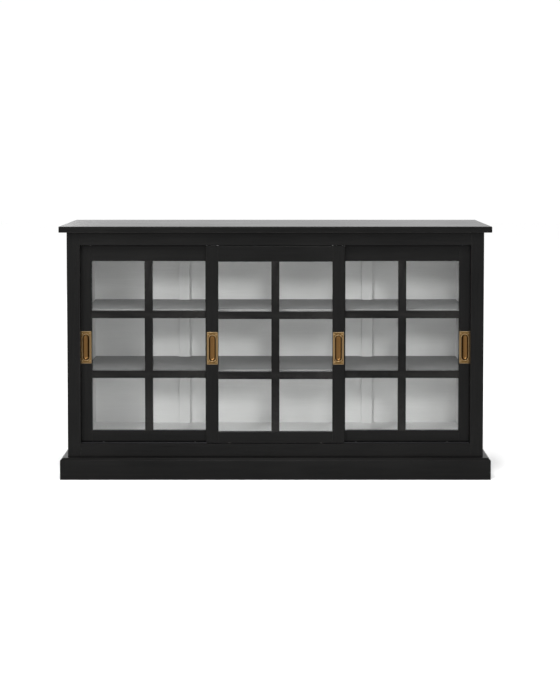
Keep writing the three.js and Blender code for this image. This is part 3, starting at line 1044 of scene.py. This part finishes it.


# A flush pull, as one skin from the back of its cup round the plate and into the cup again.
# Each row is (half width, half height, corner radius, place in front of the door's face, wear and shade
# mark).
# The plate's rim and the cup's back are quarter rounds, the bead round the mouth is
# beadRise * sin a high, and the cup's inside falls away as a quarter of an ellipse.
def pull(door, hand):
    node = pullName(door, hand)
    x, level = pullCentre(node)
    face = boxOf(door + "_door_rail_bottom")[0][1]
    facts = pullFacts
    proud, back, deep, rim = (facts[key] for key in ("proud", "back", "deep", "rim"))
    mouth, curve = facts["inner"], facts["cupRound"]
    rows = []

    def cupRow(half, place, rub):
        rows.append((half, half + facts["slot"], half - 0.01 * mm, place, rub))

    def plateRow(inset, place, rub):
        corner = max(facts["corner"] - inset, 0.2 * mm)
        rows.append((facts["halfWide"] - inset, facts["halfTall"] - inset, corner, place, rub))

    for a in np.radians(np.linspace(0, 90, 6)):
        drawn = curve * (1 - math.sin(a))
        cupRow(facts["outer"] - drawn, curve * (1 - math.cos(a)) - deep - 1.0 * mm, -0.5)
    cupRow(facts["outer"], -back, -0.5)
    plateRow(0.3 * mm, -back, -0.3)
    plateRow(0.0, -back + 0.3 * mm, -0.2)
    plateRow(0.0, proud - rim, 0.35)
    for a in np.radians(np.linspace(0, 90, 5))[1:]:
        plateRow(rim * (1 - math.cos(a)), proud - rim * (1 - math.sin(a)), 0.95)
    plateRow(1.3 * mm, proud, 0.35)
    plateRow(2.6 * mm, proud, 0.05)
    # Painted shade: the ring at the bead's outer foot and the cup's steep walls get low marks, which the
    # brass turns almost black; the cup's floor keeps an amber patina.
    cupRow(mouth + 3.0 * mm, proud, -0.05)
    cupRow(mouth + 2.4 * mm, proud, -0.55)
    for a in np.radians(np.linspace(15, 165, 8)):
        ridge = math.sin(a)
        half = mouth + facts["bead"] + facts["beadHalf"] * math.cos(a)
        cupRow(half, proud + facts["beadRise"] * ridge, 0.75 * ridge - 0.1)
    cupRow(mouth, proud - 0.5 * mm, -0.7)
    cupRow(mouth - 0.1 * mm, -1.6 * mm, -0.85)
    wide, tall = mouth - 1.0 * mm, deep - 2.0 * mm
    for a in np.radians(np.linspace(0, 90, 15)):
        half = mouth - 0.15 * mm - wide * (1 - math.cos(a))
        cupRow(half, -2.0 * mm - tall * math.sin(a), -0.95 + 0.62 * math.sin(a))
    grid = faceRings(x, level, face, [(*row[:3], -row[3]) for row in rows], 10)
    rub = np.repeat(np.array([row[4] for row in rows])[:, None], grid.shape[1], 1)
    shell = Shell()
    index = shell.add(grid, rub)
    shell.skin(index)
    shell.caps(index)
    dress(shell.piece(node + "_brass"), "brass", doorBody(door), (node,))
    pullScrews(door, node, x, level, face - proud)


screwFacts = {
    "across": 12.2 * mm,  # from the pull's middle
    "up": 45.0 * mm,
    "head": 2.7 * mm,
    "dome": 0.55 * mm,
    "sunk": 0.35 * mm,
    "slotHalf": 0.55 * mm,
    "slotDeep": 0.5 * mm,
    "turns": (12, 78, 131, 40),  # degrees that each slot is turned
    "facets": 40,
}


# Oval screw heads. A head is a disc of rings: height = dome * (1 - (r / head) squared), less a
# slot whose depth falls off over its rim; each head's slot lies at its own angle.
def pullScrews(door, node, x, level, plateFace):
    facts = screwFacts
    head, facets = facts["head"], facts["facets"]
    shares = np.r_[np.linspace(0.06, 0.9, 12), 0.96, 1.0]
    angle = np.linspace(0, 2 * np.pi, facets, endpoint=False)
    radius = head * shares[::-1, None]
    u, v = radius * np.cos(angle), radius * np.sin(angle)
    inside = np.clip((0.93 * head - radius) / (0.2 * mm), 0, 1)
    sides = [(sideX, sideZ) for sideX in (-1, 1) for sideZ in (-1, 1)]
    shell = Shell()
    for (sideX, sideZ), turn in zip(sides, np.radians(facts["turns"])):
        across = np.abs(-u * math.sin(turn) + v * math.cos(turn))
        slot = np.clip((facts["slotHalf"] - across) / (0.16 * mm), 0, 1) * inside
        height = facts["dome"] * (1 - (radius / head) ** 2) - facts["slotDeep"] * slot
        top = np.stack([x + sideX * facts["across"] + u, level + sideZ * facts["up"] + v, height], 2)
        foot = top[:1].copy()
        foot[:, :, 2] = -facts["sunk"]
        grid = np.concatenate([foot, top])
        grid[:, :, 2] -= plateFace
        # Painted shade: the slots and the foot ring take low marks, which the brass darkens almost to
        # black; the domes keep a little polish.
        markLevel = 0.55 - 1.4 * slot - 0.5 * (radius > 0.95 * head)
        index = shell.add(grid @ frames["front"], np.concatenate([np.full((1, facets), -0.6), markLevel]))
        shell.skin(index)
        shell.caps(index)
    dress(shell.piece(node + "_screws"), "brass", doorBody(door))


# A grooved roller with its pin. Half of its profile runs from the groove's middle out over the
# rim, in to the hub and along the pin; the other half mirrors it.
def roller(door, hand):
    node = f"{door}_door_roller_{hand}"
    low, high = boxOf(node)
    keys = ("wheel", "groove", "half", "rim", "hollow", "dish", "pin", "pinHalf", "bevel")
    wheel, groove, half, rim, hollow, dish, pin, reach, bevel = (rollerFacts[key] for key in keys)
    flank = np.concatenate(
        [
            arc((groove + hollow, 0.6 * mm), hollow, 180, 120, 3),
            arc((wheel - rim, half - rim), rim, 0, 90, 3),
            [(wheel - 1.2 * mm, half), (wheel - 1.6 * mm, half - dish), (pin + 1.6 * mm, half - dish)],
            [(pin + 1.4 * mm, half + 0.3 * mm), (pin, half + 0.35 * mm)],
            [(pin, reach - bevel), (pin - bevel, reach)],
        ]
    )
    profile = np.concatenate([flank[::-1] * (1, -1), flank])
    shell = Shell()
    addTurned(shell, profile, "front", (low + high) / 2, rollerFacts["facets"])
    dress(shell.piece(node + "_wheel"), "nylon", f"{door}_door_{hand}_wheel", (node,))


# Bent strips that line a door's two roller pockets: an upside-down channel, carried along x.
def rollerChannels(door):
    rail = boxOf(door + "_door_rail_bottom")[0]
    wall, play = rollerFacts["channel"], 0.1 * mm
    out = rollerFacts["pocketWide"] / 2 - play
    half = rollerFacts["pocketHalf"] - 0.4 * mm
    bottom, roof = rail[2] + play, rail[2] + rollerFacts["pocketRise"] - play
    shell = Shell()
    for hand in handNames:
        low, high = boxOf(f"{door}_door_roller_{hand}")
        x, y = (low[0] + high[0]) / 2, (low[1] + high[1]) / 2
        near, far = y - out, y + out
        corners = [
            (near, bottom), (near + wall, bottom), (near + wall, roof - wall), (far - wall, roof - wall),
            (far - wall, bottom), (far, bottom), (far, roof), (near, roof),
        ]
        outline = roundedOutline(corners, 0.15 * mm, 2)
        index = shell.add(*barRings(outline, "x", x - half, x + half, 0.1 * mm))
        shell.skin(index)
        shell.caps(index)
    dress(shell.piece(door + "_door_roller_channels"), "steel", doorBody(door))


for door in doorNames:
    for hand in handNames:
        doorStile(door, hand)
        roller(door, hand)
        if hand in doorPulls[door]:
            pull(door, hand)
    doorRailTop(door)
    doorRailBottom(door)
    doorMuntins(door)
    doorGlass(door)
    glazingBeads(door)
    rollerChannels(door)
    print("door:", door)

studio = {
    "world": 1.01,
    "floorSize": 30.0,
    "floorShade": colour(0.985, 0.985, 0.985),
    "lights": {  # place, aim, power in watts, size
        "key": ((-3.0, -5.6, 2.3), (0.0, 0.0, 0.4), 150.0, 0.8),
        "fill": ((2.0, -6.0, 2.1), (0.0, 0.0, 0.4), 70.0, 1.6),
        "top": ((-0.1, -1.5, 2.0), (0.0, -0.1, 0.75), 50.0, 0.9),
        "right": ((4.6, 0.6, 2.4), (0.4, 0.0, 0.4), 34.0, 2.0),
        "back": ((-2.2, 4.6, 2.8), (0.0, 0.2, 0.4), 50.0, 2.0),
    },
    "cameraPlace": (0.015, -5.0108, 1.1003),
    "cameraTilt": 2.645,  # degrees below level
    "cameraLens": 76.69,
    "cameraSensor": 36.0,
    "cameraShift": -0.2,
}


def makeFloor():
    half = studio["floorSize"] / 2
    mesh = bpy.data.meshes.new("floor")
    corners = rectangle((-half, -half), (half, half))
    mesh.from_pydata([(*corner, 0) for corner in corners], [], [(0, 1, 2, 3)])
    floor = bpy.data.objects.new("floor", mesh)
    bpy.context.scene.collection.objects.link(floor)
    finish = Finish("studio_floor")
    mesh.materials.append(finish.principled({"Base Color": studio["floorShade"], "Roughness": 0.9}))


def makeWorld():
    world = bpy.data.worlds.new("studio")
    bpy.context.scene.world = world
    world.use_nodes = True
    ground = world.node_tree.nodes["Background"]
    ground.inputs["Color"].default_value = colour(1, 1, 1)
    ground.inputs["Strength"].default_value = studio["world"]


def makeLight(name, place, target, power, size):
    light = bpy.data.lights.new(name, "AREA")
    light.energy = power
    light.size = size
    made = bpy.data.objects.new(name, light)
    made.location = place
    made.rotation_mode = "QUATERNION"
    made.rotation_quaternion = (Vector(place) - Vector(target)).to_track_quat("Z", "Y")
    made.visible_camera = False
    bpy.context.scene.collection.objects.link(made)


def makeCamera():
    camera = bpy.data.cameras.new("camera")
    camera.lens = studio["cameraLens"]
    camera.sensor_width = studio["cameraSensor"]
    camera.shift_y = studio["cameraShift"]
    made = bpy.data.objects.new("camera", camera)
    made.location = studio["cameraPlace"]
    made.rotation_euler = (math.radians(90 - studio["cameraTilt"]), 0, 0)
    bpy.context.scene.collection.objects.link(made)
    bpy.context.scene.camera = made


makeFloor()
makeWorld()
for lightName, lightFacts in studio["lights"].items():
    makeLight(lightName, *lightFacts)
makeCamera()
bpy.context.scene.view_settings.view_transform = "Standard"
print("studio set")
